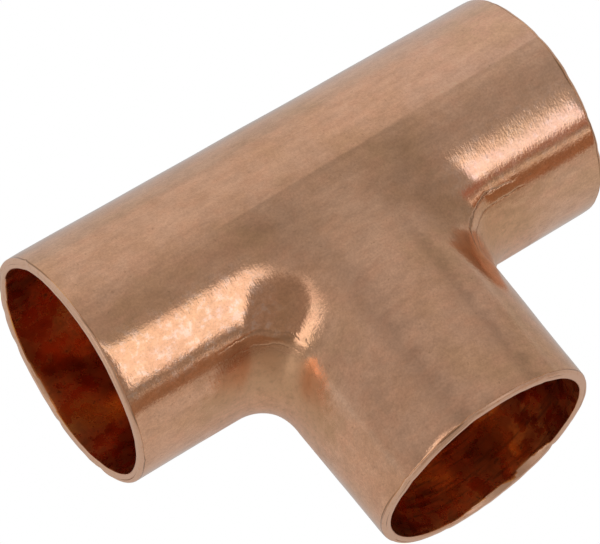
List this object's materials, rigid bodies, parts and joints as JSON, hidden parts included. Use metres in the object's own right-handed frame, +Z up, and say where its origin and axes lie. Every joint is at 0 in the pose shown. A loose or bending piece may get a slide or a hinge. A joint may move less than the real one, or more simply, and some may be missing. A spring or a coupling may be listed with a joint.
{
  "type": "tee fitting",
  "caption": "One-piece copper equal tee for solder-jointed 22 mm tube, with three plain sockets and a smoothly blended side branch.",
  "frame": {"origin": "the point where the run axis and the branch axis cross, which is the point pipework is set out from", "axes": "X along the run, -Y out of the branch mouth, +Z up with the fitting lying flat on its barrels"},
  "size_m": [0.0552, 0.0415, 0.0242],
  "materials": {
    "copper": null
  },
  "bodies": {
    "root": {"tee_body": "copper"}
  },
  "joints": []
}
